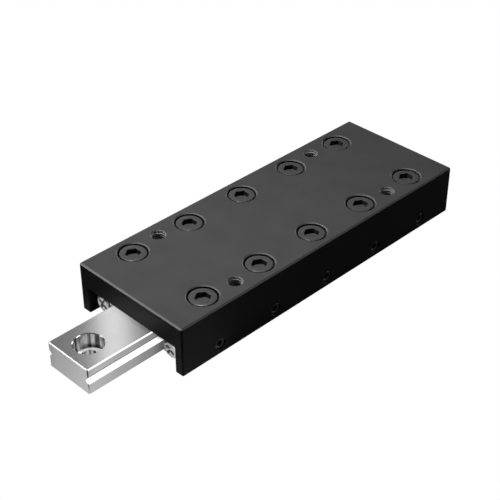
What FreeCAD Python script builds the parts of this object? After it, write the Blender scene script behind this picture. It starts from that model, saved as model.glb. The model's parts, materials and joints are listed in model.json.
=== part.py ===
import FreeCAD, Part
import os
import re

import Sketcher
from FreeCAD import Placement, Rotation, Vector

# A small crossed-roller slide. X is the travel, Y goes across, Z is up, in millimetres.
# The origin is the middle of the base rail's underside. The carriage stands forward of the middle,
# so the base rail's front end, at -X, is bare.

DRIVING_SIZES = [
    ("screw_pitch", 15, "cap screw to cap screw along the carriage"),
    ("screw_count", 5, "cap screws in each of the two rows"),
    ("screw_margin", 7.5, "end of an outer rail to its first cap screw"),
    ("end_recess", 2.25, "carriage end face to the end of an outer rail"),
    ("rest_margin", 5, "travel left ahead of the carriage as it stands"),
    ("rail_width", 11.6, "base rail, side to side"),
    ("rail_height", 5.7, "base rail, underside to top"),
    ("rail_chamfer", 0.22, "along the base rail's top edges"),
    ("end_chamfer", 0.2, "round the base rail's ends"),
    ("bolt_margin", 5, "end of the base rail to its bolt hole"),
    ("bolt_hole", 3.5, "diameter, for an M3 bolt"),
    ("bolt_bore", 6, "counterbore diameter for its head"),
    ("bolt_bore_depth", 3, "counterbore depth"),
    ("rail_gap", 1, "base rail to each outer rail"),
    ("outer_width", 5.6, "outer rail, side to side"),
    ("foot_lift", 0.5, "carriage's lower edge to the underside of an outer rail"),
    ("outer_chamfer", 0.2, "on an outer rail's end edges"),
    ("preload_gap", 0.1, "adjustable outer rail to its leg"),
    ("leg_wall", 2.25, "leg beside the adjustable outer rail"),
    ("base_clearance", 0.25, "base rail's underside to the carriage's lower edge"),
    ("top_gap", 0.45, "base rail's top to the carriage plate"),
    ("plate_thickness", 5.4, "carriage plate"),
    ("carriage_chamfer", 0.3, "on the carriage's outer edges"),
    ("groove_height", 3.2, "centre line of the rollers above the base rail's underside"),
    ("relief_width", 0.3, "slot at the bottom of a V-groove"),
    ("relief_depth", 0.25, "slot at the bottom of a V-groove"),
    ("roller_diameter", 2, ""),
    ("roller_short", 0.2, "a roller is this much shorter than its diameter"),
    ("roller_play", 0.015, "between a roller and each flank that it runs on"),
    ("roller_chamfer", 0.1, ""),
    ("roller_pitch", 4, "roller to roller along a cage"),
    ("roller_count", 12, "rollers in each cage"),
    ("cage_play", 0.25, "cage to the rail on each side of it"),
    ("cage_border", 0.6, "strip above and below the windows"),
    ("cage_end", 3, "end roller's centre to the end of the cage"),
    ("cage_margin", 2.5, "cage end to outer rail end at full travel"),
    ("window_play", 0.05, "window to the roller in it"),
    ("stop_diameter", 2, "stop pin"),
    ("stop_grip", 3, "length of the stop pin held in the plate"),
    ("stop_reach", 0.9, "length of the stop pin below the base rail's top"),
    ("slot_play", 0.1, "stop pin to the sides and floor of its slot"),
    ("screw_diameter", 3, "M3 socket head cap screw"),
    ("screw_length", 6, "under the head"),
    ("screw_setback", 3.2, "inner face of an outer rail to its row of cap screws"),
    ("head_diameter", 5.5, ""),
    ("head_height", 3, ""),
    ("head_chamfer", 0.15, ""),
    ("head_recess", 0.25, "carriage top to the top of a cap screw"),
    ("socket_width", 2.9, "across flats"),
    ("socket_depth", 1.1, ""),
    ("thread_play", 0.03, "between a screw and its thread"),
    ("screw_hole", 3.4, "clearance hole diameter in the plate"),
    ("screw_bore", 6.3, "counterbore diameter for a cap screw's head"),
    ("bore_chamfer", 0.2, "at the mouth of a counterbore"),
    ("load_hole", 3, "M3 tapped holes for the load"),
    ("load_spread", 22, "between the two rows of load holes"),
    ("mouth_chamfer", 0.15, "at the mouth of a tapped hole"),
    ("set_diameter", 2.5, "M2.5 preload set screw"),
    ("set_length", 2, ""),
    ("set_height", 2.4, "above the carriage's lower edge"),
    ("set_socket", 1.3, "across flats"),
    ("set_socket_depth", 1, ""),
    ("set_chamfer", 0.2, ""),
    ("end_diameter", 2, "M2 cross-recess end screw"),
    ("end_length", 4, "under the head"),
    ("end_height", 3.4, "above the base rail's underside"),
    ("end_setback", 3, "inner face of an outer rail to its end screw"),
    ("end_head", 4.1, "head diameter"),
    ("end_head_height", 1.13, ""),
    ("end_fillet", 0.35, "round the top of the head"),
    ("recess_reach", 1.2, "centre to the tip of a wing of the cross"),
    ("recess_width", 0.56, "width of a wing"),
    ("recess_depth", 0.75, ""),
    ("recess_taper", 8, "degrees, on the walls of the cross"),
    ("recess_turn", 59, "degrees that the cross is turned"),
    ("drill_spare", 0.5, "tapped hole deeper than its screw"),
]

DERIVED_SIZES = [
    ("screw_span", "screw_pitch * (screw_count - 1)"),
    ("outer_length", "screw_span + 2 * screw_margin"),
    ("carriage_length", "outer_length + 2 * end_recess"),
    ("rail_length", "carriage_length"),
    ("cage_span", "roller_pitch * (roller_count - 1)"),
    ("cage_length", "cage_span + 2 * cage_end"),
    ("half_stroke", "outer_length - cage_length - 2 * cage_margin"),
    ("rest_shift", "half_stroke - rest_margin"),
    ("outer_inside", "rail_width / 2 + rail_gap"),
    ("outer_outside", "outer_inside + outer_width"),
    ("half_width", "outer_outside + preload_gap + leg_wall"),
    ("outer_bottom", "base_clearance + foot_lift"),
    ("plate_underside", "rail_height + top_gap"),
    ("carriage_top", "plate_underside + plate_thickness"),
    ("roller_line", "rail_width / 2 + rail_gap / 2"),
    ("roller_length", "roller_diameter - roller_short"),
    ("groove_depth", "(roller_diameter + 2 * roller_play) / sqrt(2) - rail_gap / 2"),
    ("flank_depth", "groove_depth - relief_width / 2"),
    ("cage_thickness", "rail_gap - 2 * cage_play"),
    ("window_length", "roller_diameter + 2 * window_play"),
    ("window_height", "(roller_diameter + roller_length) / sqrt(2) + 2 * window_play"),
    ("cage_height", "window_height + 2 * cage_border"),
    ("screw_row", "outer_inside + screw_setback"),
    ("head_seat", "carriage_top - head_recess - head_height"),
    ("set_level", "base_clearance + set_height"),
    ("end_row", "outer_inside + end_setback"),
    ("stop_length", "stop_grip + top_gap + stop_reach"),
    ("slot_width", "stop_diameter + 2 * slot_play"),
]

LEFT = 1
RIGHT = -1
SIDES = {"left": LEFT, "right": RIGHT}

doc = FreeCAD.newDocument("roller_slide")
sheet = doc.addObject("Spreadsheet::Sheet", "Sizes")
sub_parts = []


def fill_sheet():
    rows = [(name, str(value), note) for name, value, note in DRIVING_SIZES]
    rows += [(name, "=" + formula, "") for name, formula in DERIVED_SIZES]
    for row, (name, content, note) in enumerate(rows, 1):
        sheet.set("A%d" % row, name)
        sheet.set("B%d" % row, content)
        sheet.set("C%d" % row, note)
        sheet.setAlias("B%d" % row, name)
    doc.recompute()


def size(name):
    return float(sheet.get(name))


def bound(formula):
    """The formula with each size read from the sheet. Every size's name has an underscore."""
    return re.sub(r"[a-z]+_[a-z_]+", lambda name: "Sizes." + name.group(), str(formula))


def bind(item, **formulas):
    for path, formula in formulas.items():
        item.setExpression(path, bound(formula))


def body(label):
    piece = doc.addObject("PartDesign::Body", label)
    piece.Label = label
    sub_parts.append(piece)
    return piece


def place(piece, x="0", y="0", z="0", rotation=None):
    if rotation:
        piece.Placement = Placement(Vector(0, 0, 0), rotation)
    for axis, formula in zip("xyz", (x, y, z)):
        piece.setExpression("Placement.Base." + axis, bound(formula))


def sketch_on(piece, name, plane, offset="0"):
    """An empty sketch on one of the body's origin planes, moved along that plane's normal."""
    sketch = piece.newObject("Sketcher::SketchObject", name)
    origin_plane = [item for item in piece.Origin.OriginFeatures if item.Role == plane][0]
    sketch.AttachmentSupport = [(origin_plane, "")]
    sketch.MapMode = "FlatFace"
    sketch.setExpression("AttachmentOffset.Base.z", bound(offset))
    return sketch


def pin_down(sketch, geometry, point, x, y):
    """Hold one point of a sketch at a place given by two formulas."""
    for kind, formula in (("DistanceX", x), ("DistanceY", y)):
        value = float(sketch.evalExpression(bound(formula)))
        number = sketch.addConstraint(Sketcher.Constraint(kind, -1, 1, geometry, point, value))
        sketch.setExpression("Constraints[%d]" % number, bound(formula))


def outline(sketch, corners):
    """A closed outline of straight edges; each corner is a pair of formulas."""
    points = [Vector(*(float(sketch.evalExpression(bound(formula))) for formula in corner))
              for corner in corners]
    ends = points[1:] + points[:1]
    edges = sketch.addGeometry([Part.LineSegment(*pair) for pair in zip(points, ends)])
    for edge, following in zip(edges, edges[1:] + edges[:1]):
        sketch.addConstraint(Sketcher.Constraint("Coincident", edge, 2, following, 1))
    for edge, corner in zip(edges, corners):
        pin_down(sketch, edge, 1, *corner)
    return sketch


def circles(sketch, diameter, *centres):
    for centre in centres:
        radius = float(sketch.evalExpression(bound(diameter))) / 2
        start = Vector(*(float(sketch.evalExpression(bound(formula))) for formula in centre))
        number = sketch.addGeometry(Part.Circle(start, Vector(0, 0, 1), radius))
        pin_down(sketch, number, 3, *centre)
        rule = sketch.addConstraint(Sketcher.Constraint("Diameter", number, 2 * radius))
        sketch.setExpression("Constraints[%d]" % rule, bound(diameter))
    return sketch


def pad(piece, sketch, length, both_ways=False):
    feature = piece.newObject("PartDesign::Pad", "Pad")
    feature.Profile = sketch
    feature.SideType = "Symmetric" if both_ways else "One side"
    bind(feature, Length=length)
    doc.recompute()
    return feature


def pocket(piece, sketch, depth, against=False, taper="0"):
    """Cut against the sketch's normal, or along it, and make sure that something was cut."""
    before = piece.Tip.Shape.Volume
    feature = piece.newObject("PartDesign::Pocket", "Pocket")
    feature.Profile = sketch
    feature.Reversed = against
    bind(feature, Length=depth, TaperAngle=taper)
    doc.recompute()
    if feature.Shape.isNull() or feature.Shape.Volume >= before:
        raise RuntimeError("a pocket of %s cut nothing" % piece.Label)
    return feature


def row_of(piece, features, length, count):
    """Repeat cuts along X, first to last over the given length."""
    pattern = piece.newObject("PartDesign::LinearPattern", "LinearPattern")
    pattern.Originals = features
    pattern.Direction = (features[0].Profile[0], ["H_Axis"])
    pattern.Mode = "Extent"
    bind(pattern, Length=length, Occurrences=count)
    piece.Tip = pattern
    doc.recompute()


def turn(piece, corners):
    """Revolve a half outline of (radius, height) corners round Z."""
    sketch = outline(sketch_on(piece, "HalfProfile", "XZ_Plane"), corners)
    feature = piece.newObject("PartDesign::Revolution", "Revolution")
    feature.Profile = sketch
    feature.ReferenceAxis = (sketch, ["V_Axis"])
    feature.Angle = 360
    doc.recompute()


def dress(piece, kind, amount, wanted):
    """Chamfer or fillet the edges of the body that the test asks for."""
    base = piece.Tip
    names = ["Edge%d" % number for number, edge in enumerate(base.Shape.Edges, 1) if wanted(edge)]
    if not names:
        raise RuntimeError("no edge to dress on " + piece.Label)
    feature = piece.newObject("PartDesign::" + kind, kind)
    feature.Base = (base, names)
    bind(feature, **{"Radius" if kind == "Fillet" else "Size": amount})
    doc.recompute()
    if feature.Shape.isNull():
        raise RuntimeError("a %s of %s failed" % (kind, piece.Label))


def near(value, target):
    return abs(value - target) < 1e-4


def lies_at(axis, level):
    """A test for edges that lie wholly at one level along an axis."""
    def test(edge):
        box = edge.BoundBox
        low = getattr(box, axis + "Min")
        high = getattr(box, axis + "Max")
        return near(low, level) and near(high, level)
    return test


def is_mouth(diameter, axis, level):
    """A test for full circles of one diameter at one level along an axis."""
    flat = lies_at(axis, level)

    def test(edge):
        round_edge = isinstance(edge.Curve, Part.Circle)
        return round_edge and near(edge.Curve.Radius, diameter / 2) and flat(edge)
    return test


def outside_grooves(end):
    """A test for the edges round one end of the base rail, but for its underside and its grooves."""
    at_end = lies_at("X", end * size("rail_length") / 2)

    def test(edge):
        box = edge.BoundBox
        on_side = near(box.YLength, 0) and near(abs(box.YMin), size("rail_width") / 2)
        return at_end(edge) and (on_side or near(box.ZMax, size("rail_height")))
    return test


def vee_corners(face, side):
    """A right-angled V-groove with a relief slot, cut into a face at Y = face towards +Y or -Y."""
    flank = "%s + %d * flank_depth" % (face, side)
    floor = "%s + %d * (flank_depth + relief_depth)" % (face, side)
    lower = [
        (face, "groove_height - groove_depth"),
        (flank, "groove_height - relief_width / 2"),
        (floor, "groove_height - relief_width / 2"),
    ]
    upper = [(y, z.replace(" - ", " + ")) for y, z in reversed(lower)]
    return lower + upper


def hexagon(width):
    """Corners of a hexagon, a corner on Y, from its width across flats."""
    corner = "%s / sqrt(3)" % width
    angles = range(30, 390, 60)
    return [("%s * cos(%d deg)" % (corner, angle), "%s * sin(%d deg)" % (corner, angle)) for angle in angles]


def cross(reach, width):
    """Corners of an upright cross."""
    near_side = "%s / 2" % width
    quarter = [(reach, "-" + near_side), (reach, near_side), (near_side, near_side)]
    corners = []
    for _ in range(4):
        corners += quarter
        quarter = [("-(%s)" % y, x) for x, y in quarter]
    return corners


def base_rail():
    piece = body("base_rail")
    face = "rail_width / 2"
    side = [(face, "0"), *vee_corners(face, -1), (face, "rail_height - rail_chamfer")]
    side.append((face + " - rail_chamfer", "rail_height"))
    other_side = [("-(%s)" % y, z) for y, z in reversed(side)]
    pad(piece, outline(sketch_on(piece, "Section", "YZ_Plane"), side + other_side), "rail_length", True)
    for end in (-1, 1):
        dress(piece, "Chamfer", "end_chamfer", outside_grooves(end))
    places = [("%d * (rail_length / 2 - bolt_margin)" % end, "0") for end in (-1, 1)]
    holes = circles(sketch_on(piece, "BoltHoles", "XY_Plane", "rail_height"), "bolt_hole", *places)
    pocket(piece, holes, "rail_height")
    bores = circles(sketch_on(piece, "BoltBores", "XY_Plane", "rail_height"), "bolt_bore", *places)
    pocket(piece, bores, "bolt_bore_depth")
    dress(piece, "Chamfer", "mouth_chamfer", is_mouth(size("bolt_bore"), "Z", size("rail_height")))
    slot_depth = "stop_reach + slot_play"
    corners = [("%d * half_stroke" % x, "%d * slot_width / 2" % y)
               for x, y in ((-1, -1), (1, -1), (1, 1), (-1, 1))]
    slot = outline(sketch_on(piece, "StopSlot", "XY_Plane", "rail_height"), corners)
    pocket(piece, slot, slot_depth)
    slot_ends = circles(sketch_on(piece, "StopSlotEnds", "XY_Plane", "rail_height"), "slot_width",
                        ("-half_stroke", "0"), ("half_stroke", "0"))
    pocket(piece, slot_ends, slot_depth)


def carriage_body():
    piece = body("carriage_body")
    corners = [
        ("-half_width", "base_clearance"), ("-half_width", "carriage_top"),
        ("half_width", "carriage_top"), ("half_width", "base_clearance"),
        ("outer_outside", "base_clearance"), ("outer_outside", "plate_underside"),
        ("-(outer_outside + preload_gap)", "plate_underside"),
        ("-(outer_outside + preload_gap)", "base_clearance"),
    ]
    section = outline(sketch_on(piece, "Section", "YZ_Plane"), corners)
    pad(piece, section, "carriage_length", True)
    underside = lies_at("Z", size("plate_underside"))
    dress(piece, "Chamfer", "carriage_chamfer",
          lambda edge: not (underside(edge) and near(edge.BoundBox.YLength, 0)))
    cut_screw_holes(piece)
    cut_load_holes(piece)
    cut_preload_holes(piece)
    stop = circles(sketch_on(piece, "StopHole", "XY_Plane", "plate_underside"), "stop_diameter", ("0", "0"))
    pocket(piece, stop, "stop_grip", against=True)
    place(piece, x="rest_shift")


def cut_screw_holes(piece):
    first_pair = [("-screw_span / 2", "%d * screw_row" % side) for side in SIDES.values()]
    bores = circles(sketch_on(piece, "ScrewBores", "XY_Plane", "carriage_top"), "screw_bore", *first_pair)
    cut_bores = pocket(piece, bores, "head_recess + head_height")
    holes = circles(sketch_on(piece, "ScrewHoles", "XY_Plane", "carriage_top"), "screw_hole", *first_pair)
    cut_holes = pocket(piece, holes, "plate_thickness")
    row_of(piece, [cut_bores, cut_holes], "screw_span", "screw_count")
    dress(piece, "Chamfer", "bore_chamfer", is_mouth(size("screw_bore"), "Z", size("carriage_top")))


def cut_load_holes(piece):
    """Tapped through the plate, midway between the first two and the last two cap screws."""
    places = [("%d * (screw_span - screw_pitch) / 2" % end, "%d * load_spread / 2" % side)
              for end in (-1, 1) for side in (-1, 1)]
    holes = circles(sketch_on(piece, "LoadHoles", "XY_Plane", "carriage_top"), "load_hole", *places)
    pocket(piece, holes, "plate_thickness")
    dress(piece, "Chamfer", "mouth_chamfer", is_mouth(size("load_hole"), "Z", size("carriage_top")))


def cut_preload_holes(piece):
    """Tapped through the right leg, one beside each cap screw."""
    first = sketch_on(piece, "PreloadHoles", "XZ_Plane", "half_width")
    circles(first, "set_diameter + 2 * thread_play", ("-screw_span / 2", "set_level"))
    row_of(piece, [pocket(piece, first, "leg_wall")], "screw_span", "screw_count")
    hole = size("set_diameter") + 2 * size("thread_play")
    dress(piece, "Chamfer", "mouth_chamfer", is_mouth(hole, "Y", -size("half_width")))


def outer_rail(name, side):
    piece = body(name + "_outer_rail")
    inner_face = "%d * outer_inside" % side
    corners = [
        ("%d * outer_outside" % side, "plate_underside"), ("%d * outer_outside" % side, "outer_bottom"),
        (inner_face, "outer_bottom"), *vee_corners(inner_face, side), (inner_face, "plate_underside"),
    ]
    pad(piece, outline(sketch_on(piece, "Section", "YZ_Plane"), corners), "outer_length", True)
    thread = sketch_on(piece, "ScrewThreads", "XY_Plane", "plate_underside")
    circles(thread, "screw_diameter + 2 * thread_play", ("-screw_span / 2", "%d * screw_row" % side))
    through = pocket(piece, thread, "plate_underside - outer_bottom")
    row_of(piece, [through], "screw_span", "screw_count")
    for end in (-1, 1):
        face = sketch_on(piece, "EndThread", "YZ_Plane", "%d * outer_length / 2" % end)
        circles(face, "end_diameter + 2 * thread_play", ("%d * end_row" % side, "end_height"))
        pocket(piece, face, "end_length + drill_spare", against=end < 0)
        dress(piece, "Chamfer", "outer_chamfer", lies_at("X", end * size("outer_length") / 2))
    place(piece, x="rest_shift")


def cap_screw(name, side, number):
    piece = body("%s_cap_screw_%d" % (name, number + 1))
    radius = "head_diameter / 2"
    turn(piece, [
        ("0", "-screw_length"), ("screw_diameter / 2 - head_chamfer", "-screw_length"),
        ("screw_diameter / 2", "head_chamfer - screw_length"), ("screw_diameter / 2", "0"),
        (radius, "0"), (radius, "head_height - head_chamfer"),
        (radius + " - head_chamfer", "head_height"), ("0", "head_height"),
    ])
    socket = outline(sketch_on(piece, "Socket", "XY_Plane", "head_height"), hexagon("socket_width"))
    pocket(piece, socket, "socket_depth")
    along = "rest_shift - screw_span / 2 + %d * screw_pitch" % number
    place(piece, along, "%d * screw_row" % side, "head_seat")


def preload_screw(number):
    """A set screw in the right leg, its point on the adjustable outer rail."""
    piece = body("preload_set_screw_%d" % (number + 1))
    radius = "set_diameter / 2"
    turn(piece, [
        ("0", "0"), (radius + " - set_chamfer", "0"), (radius, "set_chamfer"),
        (radius, "set_length - set_chamfer"), (radius + " - set_chamfer", "set_length"),
        ("0", "set_length"),
    ])
    socket = outline(sketch_on(piece, "Socket", "XY_Plane", "set_length"), hexagon("set_socket"))
    pocket(piece, socket, "set_socket_depth")
    along = "rest_shift - screw_span / 2 + %d * screw_pitch" % number
    place(piece, along, "-outer_outside", "set_level", Rotation(Vector(1, 0, 0), 90))


def end_screw(end_name, end, side_name, side):
    """A round-headed screw with a cross recess in the end of an outer rail."""
    piece = body("%s_%s_end_screw" % (end_name, side_name))
    turn(piece, [
        ("0", "-end_length"), ("end_diameter / 2", "-end_length"), ("end_diameter / 2", "0"),
        ("end_head / 2", "0"), ("end_head / 2", "end_head_height"), ("0", "end_head_height"),
    ])
    dress(piece, "Fillet", "end_fillet", is_mouth(size("end_head"), "Z", size("end_head_height")))
    recess = sketch_on(piece, "Recess", "XY_Plane", "end_head_height")
    recess.AttachmentOffset = Placement(Vector(0, 0, 0), Rotation(Vector(0, 0, 1), size("recess_turn")))
    recess.setExpression("AttachmentOffset.Base.z", bound("end_head_height"))
    outline(recess, cross("recess_reach", "recess_width"))
    pocket(piece, recess, "recess_depth", taper="-recess_taper")
    place(piece, "rest_shift + %d * outer_length / 2" % end, "%d * end_row" % side, "end_height",
          Rotation(Vector(0, 1, 0), 90 * end))


def stop_pin():
    piece = body("stop_pin")
    radius = "stop_diameter / 2"
    turn(piece, [
        ("0", "0"), (radius + " - slot_play", "0"), (radius, "slot_play"),
        (radius, "stop_length"), ("0", "stop_length"),
    ])
    place(piece, "rest_shift", "0", "rail_height - stop_reach")


def cage(name, side):
    """A strip with a row of windows, half-way between the base rail's and the carriage's places."""
    piece = body(name + "_cage")
    strip = [("%d * cage_length / 2" % x, "%d * cage_height / 2" % z)
             for x, z in ((-1, -1), (1, -1), (1, 1), (-1, 1))]
    pad(piece, outline(sketch_on(piece, "Strip", "XZ_Plane"), strip), "cage_thickness", True)
    window = [("-cage_span / 2 + %d * window_length / 2" % x, "%d * window_height / 2" % z)
              for x, z in ((-1, -1), (1, -1), (1, 1), (-1, 1))]
    first = outline(sketch_on(piece, "Window", "XZ_Plane", "cage_thickness / 2"), window)
    row_of(piece, [pocket(piece, first, "cage_thickness")], "cage_span", "roller_count")
    place(piece, "rest_shift / 2", "%d * roller_line" % side, "groove_height")


def roller(name, side, number):
    """Neighbours lean opposite ways, each with its round side on one pair of facing flanks."""
    piece = body("%s_roller_%02d" % (name, number + 1))
    radius = "roller_diameter / 2"
    half = "roller_length / 2"
    turn(piece, [
        ("0", "-" + half), (radius + " - roller_chamfer", "-" + half), (radius, "roller_chamfer - " + half),
        (radius, half + " - roller_chamfer"), (radius + " - roller_chamfer", half), ("0", half),
    ])
    lean = 45 if number % 2 else -45
    along = "rest_shift / 2 - cage_span / 2 + %d * roller_pitch" % number
    place(piece, along, "%d * roller_line" % side, "groove_height", Rotation(Vector(1, 0, 0), lean))


def build():
    fill_sheet()
    base_rail()
    carriage_body()
    stop_pin()
    for name, side in SIDES.items():
        outer_rail(name, side)
        cage(name, side)
        for end_name, end in (("front", -1), ("rear", 1)):
            end_screw(end_name, end, name, side)
        for number in range(int(size("screw_count"))):
            cap_screw(name, side, number)
        for number in range(int(size("roller_count"))):
            roller(name, side, number)
    for number in range(int(size("screw_count"))):
        preload_screw(number)
    doc.recompute()


def check():
    for item in doc.Objects:
        if "Invalid" in item.State or "Error" in item.State:
            raise RuntimeError("%s (%s) failed: %s" % (item.Name, item.Label, item.State))
    for piece in sub_parts:
        shape = piece.Shape
        if shape.isNull() or not shape.isValid() or len(shape.Solids) != 1:
            raise RuntimeError("%s isn't one valid solid" % piece.Label)


def write():
    os.makedirs("parts", exist_ok=True)
    for piece in sub_parts:
        piece.Shape.exportStep(os.path.join("parts", piece.Label + ".step"))
    print("%d sub-parts written" % len(sub_parts))


build()
check()
write()
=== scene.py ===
import json
from math import cos, pi, radians, sin

import bmesh
import bpy
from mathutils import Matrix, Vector


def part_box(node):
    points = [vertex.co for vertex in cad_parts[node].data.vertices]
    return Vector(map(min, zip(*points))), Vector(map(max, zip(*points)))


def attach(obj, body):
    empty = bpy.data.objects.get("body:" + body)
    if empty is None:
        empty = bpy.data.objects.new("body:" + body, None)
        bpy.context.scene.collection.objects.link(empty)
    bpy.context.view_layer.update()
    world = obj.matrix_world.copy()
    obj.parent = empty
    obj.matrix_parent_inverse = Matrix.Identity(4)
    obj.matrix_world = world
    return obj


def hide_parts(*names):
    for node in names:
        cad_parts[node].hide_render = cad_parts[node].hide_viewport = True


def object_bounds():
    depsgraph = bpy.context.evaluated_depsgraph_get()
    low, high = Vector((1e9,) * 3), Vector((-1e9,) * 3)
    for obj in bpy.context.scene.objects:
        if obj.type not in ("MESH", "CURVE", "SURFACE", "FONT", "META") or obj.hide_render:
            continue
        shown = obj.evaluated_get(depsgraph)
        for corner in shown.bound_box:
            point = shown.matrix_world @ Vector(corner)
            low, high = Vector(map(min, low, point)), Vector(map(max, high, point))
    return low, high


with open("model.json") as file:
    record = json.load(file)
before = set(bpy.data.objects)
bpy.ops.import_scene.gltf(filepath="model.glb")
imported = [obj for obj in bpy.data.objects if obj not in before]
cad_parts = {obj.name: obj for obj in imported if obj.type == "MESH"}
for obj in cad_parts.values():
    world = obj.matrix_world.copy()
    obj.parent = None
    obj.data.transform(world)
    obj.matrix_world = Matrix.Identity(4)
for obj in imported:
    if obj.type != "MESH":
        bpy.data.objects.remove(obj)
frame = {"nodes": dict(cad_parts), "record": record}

cadLow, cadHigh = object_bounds()
centre = (cadLow + cadHigh) / 2
mm = 0.001


def addNode(tree, kind, inputs=None, **settings):
    node = tree.nodes.new(kind)
    for key, value in settings.items():
        setattr(node, key, value)
    for key, value in (inputs or {}).items():
        if isinstance(value, bpy.types.NodeSocket):
            tree.links.new(value, node.inputs[key])
        else:
            node.inputs[key].default_value = value
    return node


def calc(tree, operation, *terms):  # one Math node
    return addNode(tree, "ShaderNodeMath", dict(enumerate(terms)), operation=operation).outputs[0]


def blendRange(tree, value, fromLow, fromHigh, toLow, toHigh):
    inputs = {"Value": value, "From Min": fromLow, "From Max": fromHigh, "To Min": toLow, "To Max": toHigh}
    return addNode(tree, "ShaderNodeMapRange", inputs).outputs[0]


treeSockets = [
    ("Segments", "NodeSocketInt", 48),
    ("Knurl Depth", "NodeSocketFloat", 0.0),
    ("Thread Pitch", "NodeSocketFloat", 0.5 * mm),
    ("Thread Depth", "NodeSocketFloat", 0.0),
    ("Socket Turn", "NodeSocketFloat", 0.0),
    ("Count Along", "NodeSocketInt", 1),
    ("Count Across", "NodeSocketInt", 1),
    ("Span Along", "NodeSocketFloat", 0.0),
    ("Span Across", "NodeSocketFloat", 0.0),
    ("Centre", "NodeSocketVector", (0, 0, 0)),
    ("Tilt", "NodeSocketVector", (0, 0, 0)),
    ("Face Outwards", "NodeSocketBool", False),
    ("Material", "NodeSocketMaterial", None),
]


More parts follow.
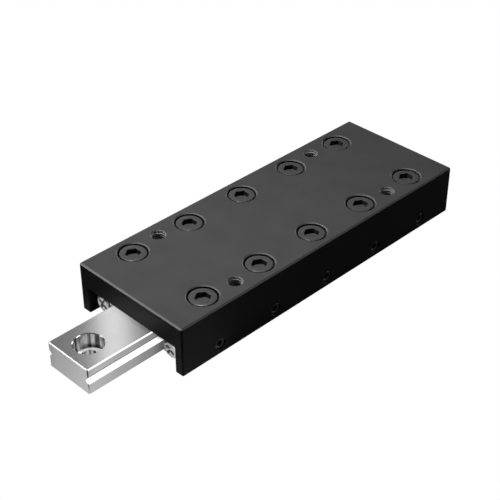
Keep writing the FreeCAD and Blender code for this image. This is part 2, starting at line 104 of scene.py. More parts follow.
def turnedRowsTree():
    # Revolves a profile, shapes its threads, knurls and sockets, and sets copies out in rows.
    tree = bpy.data.node_groups.new("turnedRows", "GeometryNodeTree")
    tree.interface.new_socket("Geometry", in_out="INPUT", socket_type="NodeSocketGeometry")
    tree.interface.new_socket("Geometry", in_out="OUTPUT", socket_type="NodeSocketGeometry")
    for label, kind, value in treeSockets:
        socket = tree.interface.new_socket(label, in_out="INPUT", socket_type=kind)
        if value is not None:
            socket.default_value = value
    given = addNode(tree, "NodeGroupInput").outputs
    profile = given["Geometry"]

    points = addNode(tree, "GeometryNodeAttributeDomainSize", {"Geometry": profile}).outputs["Point Count"]
    rings = calc(tree, "ADD", given["Segments"], 1)
    grid = addNode(tree, "GeometryNodeMeshGrid", {"Vertices X": rings, "Vertices Y": points}).outputs["Mesh"]
    index = addNode(tree, "GeometryNodeInputIndex").outputs[0]
    onProfile = calc(tree, "MODULO", index, points)
    step = calc(tree, "FLOOR", calc(tree, "DIVIDE", index, points))
    angle = calc(tree, "DIVIDE", calc(tree, "MULTIPLY", step, 2 * pi), given["Segments"])

    def sampled(name, kind="FLOAT"):
        if name == "position":
            field = addNode(tree, "GeometryNodeInputPosition").outputs[0]
        else:
            named = addNode(tree, "GeometryNodeInputNamedAttribute", {"Name": name}, data_type=kind)
            field = named.outputs[0]
        inputs = {"Geometry": profile, "Value": field, "Index": onProfile}
        return addNode(tree, "GeometryNodeSampleIndex", inputs, data_type=kind).outputs[0]

    place = addNode(tree, "ShaderNodeSeparateXYZ", {0: sampled("position", "FLOAT_VECTOR")}).outputs
    radius, height = place["X"], place["Z"]

    def folded(turn, share):  # angle from the middle of each of the equal shares of a turn
        moved = calc(tree, "SUBTRACT", angle, turn)
        wrapped = calc(tree, "FLOORED_MODULO", calc(tree, "ADD", moved, share / 2), share)
        return calc(tree, "SUBTRACT", wrapped, share / 2)

    hexRadius = calc(tree, "DIVIDE", radius, calc(tree, "COSINE", folded(given["Socket Turn"], pi / 3)))
    fromWing = calc(tree, "ABSOLUTE", folded(given["Socket Turn"], pi / 2))
    tip = calc(tree, "DIVIDE", radius, calc(tree, "COSINE", fromWing))
    flank = calc(tree, "DIVIDE", sampled("wing"), calc(tree, "MAXIMUM", calc(tree, "SINE", fromWing), 1e-4))
    crossRadius = calc(tree, "MINIMUM", tip, flank)

    def chosen(share, there, otherwise):
        difference = calc(tree, "SUBTRACT", there, otherwise)
        return calc(tree, "MULTIPLY_ADD", sampled(share), difference, otherwise)

    shaped = chosen("cross", crossRadius, chosen("hex", hexRadius, radius))
    turns = calc(tree, "SUBTRACT", calc(tree, "DIVIDE", height, given["Thread Pitch"]),
                 calc(tree, "DIVIDE", angle, 2 * pi))
    ridge = calc(tree, "PINGPONG", turns, 0.5)
    threadCut = calc(tree, "MULTIPLY", calc(tree, "MULTIPLY", ridge, 2), given["Thread Depth"])
    knurlCut = calc(tree, "MULTIPLY", calc(tree, "MODULO", step, 2), given["Knurl Depth"])
    shaped = calc(tree, "SUBTRACT", shaped, calc(tree, "MULTIPLY", sampled("thread"), threadCut))
    shaped = calc(tree, "SUBTRACT", shaped, calc(tree, "MULTIPLY", sampled("knurl"), knurlCut))

    onCircle = {"X": calc(tree, "MULTIPLY", shaped, calc(tree, "COSINE", angle)),
                "Y": calc(tree, "MULTIPLY", shaped, calc(tree, "SINE", angle)), "Z": height}
    position = addNode(tree, "ShaderNodeCombineXYZ", onCircle).outputs[0]
    turned = addNode(tree, "GeometryNodeSetPosition", {"Geometry": grid, "Position": position}).outputs[0]
    marked = addNode(tree, "GeometryNodeStoreNamedAttribute",
                     {"Geometry": turned, "Name": "fromAxis", "Value": shaped}, data_type="FLOAT").outputs[0]
    closed = addNode(tree, "GeometryNodeMergeByDistance", {"Geometry": marked, "Distance": 1e-6}).outputs[0]

    rows = addNode(tree, "GeometryNodeMeshGrid", {
        "Size X": given["Span Along"], "Size Y": given["Span Across"],
        "Vertices X": given["Count Along"], "Vertices Y": given["Count Across"]}).outputs["Mesh"]
    moved = addNode(tree, "GeometryNodeTransform", {"Geometry": rows, "Translation": given["Centre"]})
    offset = addNode(tree, "GeometryNodeInputPosition").outputs[0]
    fromCentre = addNode(tree, "ShaderNodeVectorMath", {0: offset, 1: given["Centre"]}, operation="SUBTRACT")
    along = addNode(tree, "ShaderNodeSeparateXYZ", {0: fromCentre.outputs[0]}).outputs["X"]
    outwards = calc(tree, "MULTIPLY", calc(tree, "SIGN", along), given["Face Outwards"])
    tilt = addNode(tree, "ShaderNodeCombineXYZ", {"Y": calc(tree, "MULTIPLY", outwards, pi / 2)}).outputs[0]
    tilt = addNode(tree, "ShaderNodeVectorMath", {0: tilt, 1: given["Tilt"]}, operation="ADD").outputs[0]
    copies = addNode(tree, "GeometryNodeInstanceOnPoints",
                     {"Points": moved.outputs[0], "Instance": closed, "Rotation": tilt}).outputs[0]
    solid = addNode(tree, "GeometryNodeRealizeInstances", {"Geometry": copies}).outputs[0]
    finished = addNode(tree, "GeometryNodeSetMaterial", {"Geometry": solid, "Material": given["Material"]})
    addNode(tree, "NodeGroupOutput", {0: finished.outputs[0]})
    return tree


def profileMesh(name, points):
    # Each point is (radius, height) or (radius, height, marks), in millimetres.
    mesh = bpy.data.meshes.new(name)
    places = [(point[0] * mm, 0, point[1] * mm) for point in points]
    mesh.from_pydata(places, [(i, i + 1) for i in range(len(points) - 1)], [])
    for mark in ("hex", "cross", "thread", "knurl", "wing"):
        layer = mesh.attributes.new(mark, "FLOAT", "POINT")
        for item, point in zip(layer.data, points):
            marks = point[2] if len(point) > 2 else {}
            item.value = marks.get(mark, 0)
    return mesh


sharpAngle = 30  # degrees between two faces, past which their edge stays hard


def plainMesh(piece, name):
    # The evaluated piece as an ordinary mesh, with its faces outwards and its hard edges kept.
    evaluated = piece.evaluated_get(bpy.context.evaluated_depsgraph_get())
    mesh = bpy.data.meshes.new_from_object(evaluated)
    bpy.data.objects.remove(piece)
    work = bmesh.new()
    work.from_mesh(mesh)
    bmesh.ops.recalc_face_normals(work, faces=work.faces)
    work.to_mesh(mesh)
    work.free()
    mesh.polygons.foreach_set("use_smooth", [True] * len(mesh.polygons))
    mesh.set_sharp_from_angle(angle=radians(sharpAngle))
    mesh.name = name
    made = bpy.data.objects.new(name, mesh)
    bpy.context.collection.objects.link(made)
    return made


rowsTree = turnedRowsTree()


def turnedRows(name, points, values, material, nodes):
    piece = bpy.data.objects.new(name + "Profile", profileMesh(name, points))
    bpy.context.collection.objects.link(piece)
    modifier = piece.modifiers.new("rows", "NODES")
    modifier.node_group = rowsTree
    identifiers = {item.name: item.identifier for item in rowsTree.interface.items_tree
                   if item.in_out == "INPUT"}
    for label, value in {**values, "Material": material}.items():
        modifier[identifiers[label]] = value
    made = plainMesh(piece, name)
    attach(made, "carriage")
    if nodes:
        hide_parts(*nodes)
    print(name, len(made.data.polygons), "faces")


def nodesLike(text):
    return sorted(name for name in frame["nodes"] if text in name)


def spread(names):
    # Lowest and highest corner of several nodes together.
    corners = [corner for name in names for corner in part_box(name)]
    return Vector(map(min, *corners)), Vector(map(max, *corners))


def middles(names):
    boxes = [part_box(name) for name in names]
    return [(low + high) / 2 for low, high in boxes]


def newMaterial(name):
    material = bpy.data.materials.new(name)
    material.use_nodes = True
    tree = material.node_tree
    shader = tree.nodes["Principled BSDF"]
    where = addNode(tree, "ShaderNodeTexCoord").outputs["Object"]
    return material, tree, shader, where


def noise(tree, where, scale, detail=2.0):
    inputs = {"Vector": where, "Scale": scale, "Detail": detail}
    return addNode(tree, "ShaderNodeTexNoise", inputs).outputs["Fac"]


def bumped(tree, shader, height, strength, distance):
    inputs = {"Height": height, "Strength": strength, "Distance": distance}
    tree.links.new(addNode(tree, "ShaderNodeBump", inputs).outputs[0], shader.inputs["Normal"])


patternRange = (0.3, 0.7)  # nearly all of a noise pattern lies in this range


def roughened(tree, shader, pattern, roughness, swing):
    rough = blendRange(tree, pattern, *patternRange, roughness - swing, roughness + swing)
    tree.links.new(rough, shader.inputs["Roughness"])


def mixedColour(tree, share, first, second):
    # Each colour is a plain one or another node's output.
    inputs = {0: share}
    for place, colour in ((6, first), (7, second)):
        inputs[place] = (*colour, 1) if isinstance(colour, tuple) else colour
    return addNode(tree, "ShaderNodeMix", inputs, data_type="RGBA").outputs[2]


anodised = {
    # edge is a painted highlight colour, laid on the chamfers that face along X
    "dark": (0.0108, 0.0108, 0.011), "light": (0.012, 0.012, 0.0122), "edge": (0.034, 0.034, 0.0345),
    "roughness": 0.32, "roughnessSwing": 0.015, "specular": 0.03,
    "patchScale": 160, "patchRange": (0.35, 0.65),
    "grainScale": 5200, "grainStrength": 0.12, "grainDepth": 0.02 * mm,
    # How far a face looks up or endwards, from 0 to 1, where it starts and stops being a slope with the
    # painted highlight.
    "slopeStarts": (0.2, 0.5), "slopeStops": (0.8, 0.95), "endwardsStarts": (0.2, 0.6),
}


def paintedEndHighlight(tree):
    # A painted highlight: 1 on chamfers that face along X, 0 on flat and upright faces and on the long edges.
    normal = addNode(tree, "ShaderNodeNewGeometry").outputs["True Normal"]
    facing = addNode(tree, "ShaderNodeSeparateXYZ", {0: normal}).outputs
    up = calc(tree, "ABSOLUTE", facing["Z"])
    endwards = calc(tree, "ABSOLUTE", facing["X"])
    notUpright = blendRange(tree, up, *anodised["slopeStarts"], 0, 1)
    notFlat = blendRange(tree, up, *anodised["slopeStops"], 1, 0)
    sloped = calc(tree, "MULTIPLY", notUpright, notFlat)
    return calc(tree, "MULTIPLY", sloped, blendRange(tree, endwards, *anodised["endwardsStarts"], 0, 1))


def anodisedMaterial():
    material, tree, shader, where = newMaterial("blackAnodised")
    patches = noise(tree, where, anodised["patchScale"], 3)
    shade = blendRange(tree, patches, *anodised["patchRange"], 0, 1)
    colour = mixedColour(tree, shade, anodised["dark"], anodised["light"])
    # chamfers facing along X get the lighter edge colour, a painted highlight
    highlightedColour = mixedColour(tree, paintedEndHighlight(tree), colour, anodised["edge"])
    tree.links.new(highlightedColour, shader.inputs["Base Color"])
    roughened(tree, shader, patches, anodised["roughness"], anodised["roughnessSwing"])
    shader.inputs["Specular IOR Level"].default_value = anodised["specular"]
    grain = noise(tree, where, anodised["grainScale"])
    bumped(tree, shader, grain, anodised["grainStrength"], anodised["grainDepth"])
    return material


def mountNamed(name):
    return next(mount for mount in frame["record"]["mounts"] if mount["name"] == name)


steel = {
    "dark": (0.585, 0.585, 0.585), "light": (0.62, 0.62, 0.62), "metallic": 0.985,
    "roughness": 0.14, "roughnessSwing": 0.012,
    "lineScale": 4200, "lineStretch": (0.02, 1, 1), "lineStrength": 0.004, "lineDepth": 0.01 * mm,
}
boltHole = {
    "reach": 3.05 * mm, "spacing": mountNamed("rail_bolts")["dims"]["spacing_x_mm"] * mm,
    # dark and light are the painted reflection bands on the bolt holes' walls
    "dark": (0.12, 0.12, 0.12), "light": (0.85, 0.85, 0.85), "bandScale": 2.6, "bandRange": (0.42, 0.58),
    "wallRoughness": 0.3, "seatMetallic": 0.965, "seatRoughness": 0.25,
    "wallBelow": 0.3, "seatAbove": 0.9,  # how far a face looks up, from 0 to 1
}


def boltHoleShares(tree, where):
    # Shares of the bolt holes' walls and of their counterbores' seats, and the way out from an axis.
    place = addNode(tree, "ShaderNodeSeparateXYZ", {0: where}).outputs
    along = calc(tree, "SUBTRACT", calc(tree, "ABSOLUTE", place["X"]), boltHole["spacing"] / 2)
    fromAxis = addNode(tree, "ShaderNodeCombineXYZ", {"X": along, "Y": place["Y"]}).outputs[0]
    radius = addNode(tree, "ShaderNodeVectorMath", {0: fromAxis}, operation="LENGTH").outputs["Value"]
    inside = calc(tree, "LESS_THAN", radius, boltHole["reach"])
    normal = addNode(tree, "ShaderNodeNewGeometry").outputs["True Normal"]
    up = calc(tree, "ABSOLUTE", addNode(tree, "ShaderNodeSeparateXYZ", {0: normal}).outputs["Z"])
    wall = calc(tree, "MULTIPLY", inside, calc(tree, "LESS_THAN", up, boltHole["wallBelow"]))
    seat = calc(tree, "MULTIPLY", inside, calc(tree, "GREATER_THAN", up, boltHole["seatAbove"]))
    outwards = addNode(tree, "ShaderNodeVectorMath", {0: fromAxis}, operation="NORMALIZE").outputs[0]
    return wall, seat, outwards


def groundSteelMaterial():
    # Grinding lines along X, and upright light and dark bands painted on the walls of the bolt holes as a
    # painted reflection.
    material, tree, shader, where = newMaterial("groundSteel")
    drawnOut = addNode(tree, "ShaderNodeMapping", {"Vector": where, "Scale": steel["lineStretch"]}).outputs[0]
    lines = noise(tree, drawnOut, steel["lineScale"], 3)
    wall, seat, outwards = boltHoleShares(tree, where)
    bands = blendRange(tree, noise(tree, outwards, boltHole["bandScale"]), *boltHole["bandRange"], 0, 1)
    ground = mixedColour(tree, lines, steel["dark"], steel["light"])
    # the light and dark bands on the bolt holes' walls are a painted reflection
    paintedWallReflection = mixedColour(tree, bands, boltHole["dark"], boltHole["light"])
    tree.links.new(mixedColour(tree, wall, ground, paintedWallReflection), shader.inputs["Base Color"])
    low, high = steel["roughness"] - steel["roughnessSwing"], steel["roughness"] + steel["roughnessSwing"]
    groundRough = blendRange(tree, lines, *patternRange, low, high)
    wallRough = blendRange(tree, wall, 0, 1, groundRough, boltHole["wallRoughness"])
    rough = blendRange(tree, seat, 0, 1, wallRough, boltHole["seatRoughness"])
    metallic = blendRange(tree, seat, 0, 1, steel["metallic"], boltHole["seatMetallic"])
    tree.links.new(rough, shader.inputs["Roughness"])
    tree.links.new(metallic, shader.inputs["Metallic"])
    bumped(tree, shader, lines, steel["lineStrength"], steel["lineDepth"])
    return material


turnedFinishes = {
    "blackOxide": {
        "dark": (0.0112, 0.0112, 0.0114), "light": (0.0125, 0.0125, 0.0127), "metallic": 0, "roughness": 0.3,
        "specular": 0.07, "ringScale": 6000, "ringStrength": 0.1},
    "brightPlated": {
        "dark": (0.82, 0.82, 0.82), "light": (0.88, 0.88, 0.88), "metallic": 1, "roughness": 0.07,
        "specular": 0.5, "ringScale": 3000, "ringStrength": 0.03},
    "bareThread": {
        "dark": (0.06, 0.06, 0.06), "light": (0.075, 0.075, 0.075), "metallic": 0, "roughness": 0.25,
        "specular": 0.5, "ringScale": 3000, "ringStrength": 0.05},
    "setScrewSteel": {
        "dark": (0.03, 0.03, 0.0305), "light": (0.04, 0.04, 0.0405), "metallic": 0, "roughness": 0.35,
        "specular": 0.2, "ringScale": 3000, "ringStrength": 0.05},
}
speckScale = 3000
ringSwing = 0.15  # share of the roughness
finishDepth = 0.01 * mm


def turnedMaterial(name):
    # Faint rings left by turning, round each screw's own axis.
    finish = turnedFinishes[name]
    material, tree, shader, where = newMaterial(name)
    fromAxis = addNode(tree, "ShaderNodeAttribute", attribute_name="fromAxis").outputs["Fac"]
    alongRadius = addNode(tree, "ShaderNodeCombineXYZ", {"X": fromAxis}).outputs[0]
    rings = noise(tree, alongRadius, finish["ringScale"])
    speck = noise(tree, where, speckScale)
    tree.links.new(mixedColour(tree, speck, finish["dark"], finish["light"]), shader.inputs["Base Color"])
    roughened(tree, shader, rings, finish["roughness"], finish["roughness"] * ringSwing)
    shader.inputs["Metallic"].default_value = finish["metallic"]
    shader.inputs["Specular IOR Level"].default_value = finish["specular"]
    bumped(tree, shader, rings, finish["ringStrength"], finishDepth)
    return material


grainFinishes = {
    "pinSteel": {"dark": (0.58, 0.58, 0.58), "light": (0.64, 0.64, 0.64), "roughness": 0.15,
                 "scale": 1800, "strength": 0.05},
    "rollerSteel": {"dark": (0.68, 0.68, 0.69), "light": (0.74, 0.74, 0.75), "roughness": 0.07,
                    "scale": 1800, "strength": 0.05},
    "cageBrass": {"dark": (0.62, 0.44, 0.18), "light": (0.72, 0.53, 0.25), "roughness": 0.28,
                  "scale": 900, "strength": 0.12},
}
grainSwing = 0.2  # share of the roughness


def grainMaterial(name):
    finish = grainFinishes[name]
    material, tree, shader, where = newMaterial(name)
    grain = noise(tree, where, finish["scale"], 3)
    tree.links.new(mixedColour(tree, grain, finish["dark"], finish["light"]), shader.inputs["Base Color"])
    roughened(tree, shader, grain, finish["roughness"], finish["roughness"] * grainSwing)
    shader.inputs["Metallic"].default_value = 1
    bumped(tree, shader, grain, finish["strength"], finishDepth)
    return material


def dressNodes(names, material):
    for name in names:
        for slot in frame["nodes"][name].material_slots:
            slot.material = material


dressNodes(["carriage_body"], anodisedMaterial())
dressNodes(["base_rail", "left_outer_rail", "right_outer_rail"], groundSteelMaterial())
dressNodes(["stop_pin"], grainMaterial("pinSteel"))
dressNodes(nodesLike("_cage"), grainMaterial("cageBrass"))
dressNodes(nodesLike("_roller_"), grainMaterial("rollerSteel"))
print("materials on the carried-over nodes")


capScrew = {
    "headRadius": 2.75, "headHeight": 3.0, "headChamfer": 0.15, "socketHalf": 1.45, "socketDepth": 1.1,
    "socketCone": 0.12, "socketFloorShare": 0.8, "leadIn": 0.04, "faceRing": 0.35,
    "threadRadius": 1.5, "threadLength": 6.0, "threadPitch": 0.5, "threadDepth": 0.27, "pointBevel": 0.1,
    "pointLength": 0.2, "threadEnd": 0.35, "shankEnd": 0.2,
    "knurlDepth": 0.06, "knurlLow": 0.3, "knurlHigh": 0.45, "knurlEnd": 0.3,
    "secondBevelShare": 0.3,
}
pointsPerTurn = 4


def threadPoints(radius, low, high, pitch):
    # Evenly spaced points on a thread's outline, from low to high.
    count = int(round((high - low) / pitch * pointsPerTurn))
    return [(radius, low + (high - low) * i / count, {"thread": 1}) for i in range(count + 1)]


def capScrewProfile():
    size = capScrew
    head, top, edge = size["headRadius"], size["headHeight"], size["headChamfer"]
    half, lead, shank = size["socketHalf"], size["leadIn"], size["threadRadius"]
    point, floor = -size["threadLength"], top - size["socketDepth"]
    softened = edge * size["secondBevelShare"]
    return [
        (0, point),
        (shank - size["threadDepth"] - size["pointBevel"], point),
        *threadPoints(shank, point + size["pointLength"], -size["threadEnd"], size["threadPitch"]),
        (shank, -size["shankEnd"]),
        (shank, 0),
        (head - edge, 0),
        (head, edge),
        (head, size["knurlLow"], {"knurl": 1}),
        (head, top - size["knurlHigh"], {"knurl": 1}),
        (head, top - size["knurlEnd"]),
        (head, top - edge),
        (head - softened, top - softened),
        (head - edge, top),
        (half + lead + size["faceRing"], top),
        (half + lead, top, {"hex": 1}),
        (half, top - lead, {"hex": 1}),
        (half, floor, {"hex": 1}),
        (half * size["socketFloorShare"], floor),
        (0, floor - size["socketCone"]),
    ]


def gridValues(names, height):
    # Rows as the named nodes lie, with their reference height given.
    places = middles(names)
    along = sorted({round(place.x, 5) for place in places})
    across = sorted({round(place.y, 5) for place in places})
    middle = ((along[0] + along[-1]) / 2, (across[0] + across[-1]) / 2, height)
    return {"Count Along": len(along), "Count Across": len(across), "Span Along": along[-1] - along[0],
            "Span Across": across[-1] - across[0], "Centre": middle}


capNames = nodesLike("_cap_screw_")
capTop = spread(capNames)[1].z
turnedRows("cap_screws", capScrewProfile(), {
    **gridValues(capNames, capTop - capScrew["headHeight"] * mm),
    "Segments": 96, "Thread Pitch": capScrew["threadPitch"] * mm,
    "Thread Depth": capScrew["threadDepth"] * mm, "Knurl Depth": capScrew["knurlDepth"] * mm,
}, turnedMaterial("blackOxide"), capNames)


setScrew = {
    "radius": 1.25, "length": 2.0, "chamfer": 0.2, "pitch": 0.45, "threadDepth": 0.2, "pointBevel": 0.1,
    "socketHalf": 0.65, "socketDepth": 1.0, "socketCone": 0.2, "leadIn": 0.08,
    "cupRadius": 0.6, "cupDepth": 0.25,
}


def setScrewProfile():
    size = setScrew
    radius, top, edge, half = size["radius"], size["length"], size["chamfer"], size["socketHalf"]
    lead, floor = size["leadIn"], top - size["socketDepth"]
    return [
        (0, size["cupDepth"]),
        (size["cupRadius"], 0),
        (radius - edge - size["pointBevel"], 0),
        *threadPoints(radius, edge, top - edge, size["pitch"]),
        (radius - edge, top),
        (half + lead, top, {"hex": 1}),
        (half, top - lead, {"hex": 1}),
        (half, floor, {"hex": 1}),
        (0, floor - size["socketCone"]),
    ]


setNames = nodesLike("preload_set_screw")
setLow, setHigh = spread(setNames)
setValues = gridValues(setNames, (setLow.z + setHigh.z) / 2)
setValues["Centre"] = (setValues["Centre"][0], setHigh.y, setValues["Centre"][2])
turnedRows("preload_set_screws", setScrewProfile(), {
    **setValues, "Segments": 48, "Thread Pitch": setScrew["pitch"] * mm,
    "Thread Depth": setScrew["threadDepth"] * mm, "Tilt": (pi / 2, 0, 0),
}, turnedMaterial("setScrewSteel"), setNames)


endScrew = {
    "headRadius": 2.05, "headHeight": 1.13, "crown": 0.45, "crownSteps": 7, "crownStepDegrees": 13,
    "dome": 0.2, "domeRings": (1.5, 1.4), "rimBevel": 0.06,
    "shankRadius": 1.0, "shankLength": 4.0, "pitch": 0.4, "threadDepth": 0.18, "pointLength": 0.15,
    "threadEnd": 0.1, "recessReach": 1.27, "recessHalf": 0.32, "recessDepth": 0.8, "recessTurn": 59,
    "mouthShare": 1.06, "mouthDepth": 0.05, "floorShare": 0.72, "floorDepthShare": 0.8,
}


def endScrewProfile():
    size = endScrew
    head, top, crown, dome = size["headRadius"], size["headHeight"], size["crown"], size["dome"]
    reach, half, depth = size["recessReach"], size["recessHalf"], size["recessDepth"]
    shank, point = size["shankRadius"], -size["shankLength"]

    def domed(radius):  # height of the head at a radius
        return top - dome * (radius / (head - crown)) ** 2

    def cross(share, down):  # the cross narrows as it goes down
        return (reach * share, domed(reach * share) - down, {"cross": 1, "wing": half * share * mm})

    shoulder = domed(head - crown)
    angles = [radians(90 - size["crownStepDegrees"] * i) for i in range(size["crownSteps"])]
    corner = [(head - crown * (1 - sin(a)), shoulder - crown * (1 - cos(a))) for a in angles]
    return [
        (0, point),
        (shank - size["threadDepth"], point),
        *threadPoints(shank, point + size["pointLength"], -size["threadEnd"], size["pitch"]),
        (shank, 0),
        (head - size["rimBevel"], 0),
        (head, size["rimBevel"]),
        *corner,
        *((radius, domed(radius)) for radius in size["domeRings"]),
        cross(size["mouthShare"], 0),
        cross(1.0, size["mouthDepth"]),
        cross(size["floorShare"], depth * size["floorDepthShare"]),
        (0, top - depth),
    ]


endNames = nodesLike("_end_screw")
endLow, endHigh = spread(endNames)
endValues = gridValues(endNames, (endLow.z + endHigh.z) / 2)
outerEnds = [corner.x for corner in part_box("left_outer_rail")]
endValues["Span Along"] = outerEnds[1] - outerEnds[0]
turnedRows("end_screws", endScrewProfile(), {
    **endValues, "Segments": 144, "Thread Pitch": endScrew["pitch"] * mm,
    "Thread Depth": endScrew["threadDepth"] * mm, "Socket Turn": radians(endScrew["recessTurn"]),
    "Face Outwards": True,
}, turnedMaterial("brightPlated"), endNames)


loadThread = {"wall": 1.52, "crest": 1.47, "depth": 0.2, "pitch": 0.5, "top": 0.2, "bottomGap": 0.02,
              "leadIn": 0.6}


def loadThreadProfile(length):
    # A thin lining whose thread fades in below the mouth of the hole.
    size = loadThread
    top, bottom = -size["top"], -length
    inside = [(radius, height, {"thread": min(1, (top - height) / size["leadIn"])})
              for radius, height, _ in threadPoints(size["crest"], bottom, top, size["pitch"])]
    return [(size["wall"], bottom), *inside, (size["wall"], top), (size["wall"], bottom)]


loadMount = mountNamed("load_holes")
plateDepth = (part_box("carriage_body")[1].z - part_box("left_outer_rail")[1].z) / mm
turnedRows("load_hole_threads", loadThreadProfile(plateDepth - loadThread["bottomGap"]), {
    "Count Along": 2, "Count Across": 2, "Span Along": loadMount["dims"]["spacing_x_mm"] * mm,
    "Span Across": loadMount["dims"]["spacing_y_mm"] * mm, "Centre": loadMount["pos_m"],
    "Segments": 36, "Thread Pitch": loadThread["pitch"] * mm, "Thread Depth": loadThread["depth"] * mm,
}, turnedMaterial("bareThread"), [])


studio = {
    "floorHalf": 3, "floorGap": 0.05 * mm, "floorGlow": 1.0, "worldInReflections": 0.05,
    # (distance past the rail's near corner, brightness in reflections)
    "floorBands": [(-0.02, 0.06), (-0.005, 0.1), (0.0004, 0.75), (0.009, 0.58), (0.014, 0.42), (0.02, 0.04),
                   (0.085, 0.04), (0.11, 0.45)],
    "cardGlow": 0.5, "cardInner": 2.5 * mm, "cardOuter": 5 * mm, "cardAhead": 3.5 * mm, "cardAside": 1.5 * mm,
}


def glowByRay(tree, seen, reflected):
    # One brightness to the eye, another in reflections and bounced light.
    eye = addNode(tree, "ShaderNodeLightPath").outputs["Is Camera Ray"]
    return blendRange(tree, eye, 0, 1, reflected, seen)


def bandedGlow(tree, place):
    # Soft bands across the floor, read diagonally from the rail's near corner.
    flat = addNode(tree, "ShaderNodeSeparateXYZ", {0: place}).outputs
    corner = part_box("base_rail")[0]
    fromCorner = calc(tree, "SUBTRACT", calc(tree, "ADD", flat["X"], flat["Y"]), corner.x + corner.y)
    bands = studio["floorBands"]
    start, length = bands[0][0], bands[-1][0] - bands[0][0]
    share = calc(tree, "DIVIDE", calc(tree, "SUBTRACT", fromCorner, start), length)
    ramp = addNode(tree, "ShaderNodeValToRGB", {0: share})
    ramp.color_ramp.interpolation = "EASE"
    while len(ramp.color_ramp.elements) < len(bands):
        ramp.color_ramp.elements.new(0.5)
    for stop, (distance, glow) in zip(ramp.color_ramp.elements, bands):
        stop.position = (distance - start) / length
        stop.color = (glow, glow, glow, 1)
    return ramp.outputs[0]


def cardGlow(tree, place):
    # A small light patch on the floor by the front left end screw, for its head to mirror.
    screwLow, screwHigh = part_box("front_left_end_screw")
    spot = (screwLow.x - studio["cardAhead"], screwHigh.y + studio["cardAside"], 0)
    fromSpot = addNode(tree, "ShaderNodeVectorMath", {0: place, 1: spot}, operation="DISTANCE")
    return blendRange(tree, fromSpot.outputs["Value"], studio["cardInner"], studio["cardOuter"],
                      studio["cardGlow"], 0)


def whiteFloor():
    mesh = bpy.data.meshes.new("floor")
    half = studio["floorHalf"]
    corners = [(-half, -half, 0), (half, -half, 0), (half, half, 0), (-half, half, 0)]
    mesh.from_pydata(corners, [], [(0, 1, 2, 3)])
    floor = bpy.data.objects.new("floor", mesh)
    bpy.context.collection.objects.link(floor)
    floor.location.z = cadLow.z - studio["floorGap"]
    material = bpy.data.materials.new("floor")
    material.use_nodes = True
    tree = material.node_tree
    tree.nodes.remove(tree.nodes["Principled BSDF"])
    place = addNode(tree, "ShaderNodeTexCoord").outputs["Object"]
    reflected = calc(tree, "MAXIMUM", bandedGlow(tree, place), cardGlow(tree, place))
    strength = glowByRay(tree, studio["floorGlow"], reflected)
    glow = addNode(tree, "ShaderNodeEmission", {"Color": (1, 1, 1, 1), "Strength": strength}).outputs[0]
    tree.links.new(glow, tree.nodes["Material Output"].inputs["Surface"])
    mesh.materials.append(material)
    floor.visible_shadow = False


def surroundings():
    world = bpy.data.worlds.new("studio")
    bpy.context.scene.world = world
    world.use_nodes = True
    tree = world.node_tree
    strength = glowByRay(tree, studio["floorGlow"], studio["worldInReflections"])
    background = tree.nodes["Background"]
    background.inputs["Color"].default_value = (1, 1, 1, 1)
    tree.links.new(strength, background.inputs["Strength"])


bodyLow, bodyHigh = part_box("carriage_body")
railLow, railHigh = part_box("base_rail")
keyInset = 12 * mm  # from the carriage's near end
stripShift = 3 * mm  # from the middle of the bare rail
overNearEnd = Vector((bodyLow.x + keyInset, 0, bodyHigh.z))
bareRail = Vector(((railLow.x + bodyLow.x) / 2, 0, railHigh.z))
stripTarget = bareRail + Vector((stripShift, 0, 0))

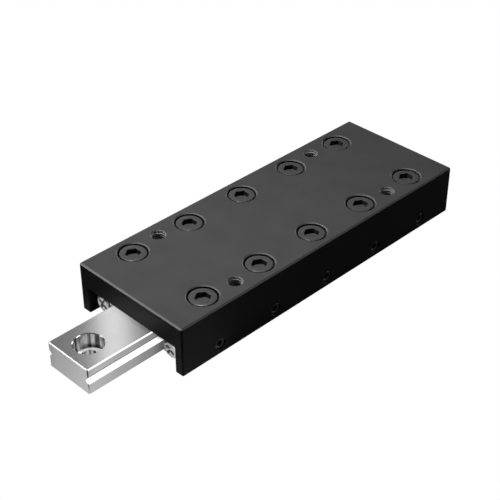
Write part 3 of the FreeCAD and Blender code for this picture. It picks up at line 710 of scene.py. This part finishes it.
# Each light's target, the direction it stands in, its distance, width, height and brightness.
lights = {
    "keyLight": (overNearEnd, (0, 0.21, 0.978), 0.35, 0.05, 0.026, 200),
    "backStrip": (stripTarget, (0.6, 0.8, 0.577), 0.3, 0.014, 0.5, 1.25),
    "backFill": (centre, (1, 1, 1), 0.5, 0.6, 0.5, 0.06),
    "rightFill": (centre, (0.1, -1, 0.12), 0.6, 0.5, 0.2, 0.9),
    "backSideFill": (centre, (0.2, 1, 0.15), 0.6, 0.6, 0.25, 1.1),
    "farEndFill": (centre, (1, -0.1, 0.15), 0.6, 0.5, 0.25, 2.5),
    "rightLight": (bareRail, (0.468, -0.643, 0.62), 0.5, 0.2, 0.2, 2.2),
    "leftLight": (bareRail, (-0.65, 0.65, 0.43), 0.5, 0.2, 0.2, 0.75),
    "edgeLight": (centre, (-0.59, 0.6, 0.54), 0.9, 0.11, 0.11, 90),
}
spreadAngles = {"keyLight": 60}  # degrees
notMirrored = ("carriage_body", "left_outer_rail", "right_outer_rail", "end_screws")


def panel(name, target, direction, distance, width, height, brightness):
    # A flat soft light that faces its target. Brightness is what a mirror would show of it.
    light = bpy.data.lights.new(name, "AREA")
    light.shape = "RECTANGLE"
    light.size = width
    light.size_y = height
    light.energy = brightness * pi * width * height
    light.spread = radians(spreadAngles.get(name, 180))
    lamp = bpy.data.objects.new(name, light)
    bpy.context.collection.objects.link(lamp)
    away = Vector(direction).normalized()
    lamp.location = Vector(target) + away * distance
    lamp.rotation_mode = "QUATERNION"
    lamp.rotation_quaternion = away.to_track_quat("Z", "Y")
    return light


whiteFloor()
surroundings()
made = {name: panel(name, *values) for name, values in lights.items()}
made["edgeLight"].cycles.max_bounces = 0  # it only lights edges, and isn't mirrored from face to face
made["edgeLight"].cycles.use_multiple_importance_sampling = False
for name in notMirrored:
    bpy.data.objects[name].visible_glossy = False


view = {"azimuth": -45, "elevation": 35.264, "distance": 0.2489, "lens": 87.4, "sensor": 36,
        "nearest": 0.01, "farthest": 20}


def addCamera():
    azimuth, elevation = radians(view["azimuth"]), radians(view["elevation"])
    back = Vector((sin(azimuth) * cos(elevation), -cos(azimuth) * cos(elevation), sin(elevation)))
    lensData = bpy.data.cameras.new("camera")
    lensData.lens = view["lens"]
    lensData.sensor_width = view["sensor"]
    lensData.clip_start = view["nearest"]
    lensData.clip_end = view["farthest"]
    camera = bpy.data.objects.new("camera", lensData)
    bpy.context.collection.objects.link(camera)
    camera.location = centre + back * view["distance"]
    camera.rotation_mode = "QUATERNION"
    camera.rotation_quaternion = back.to_track_quat("Z", "Y")
    bpy.context.scene.camera = camera


addCamera()
colours = bpy.context.scene.view_settings
colours.view_transform = "Standard"
colours.look = "None"
print("camera and lights")
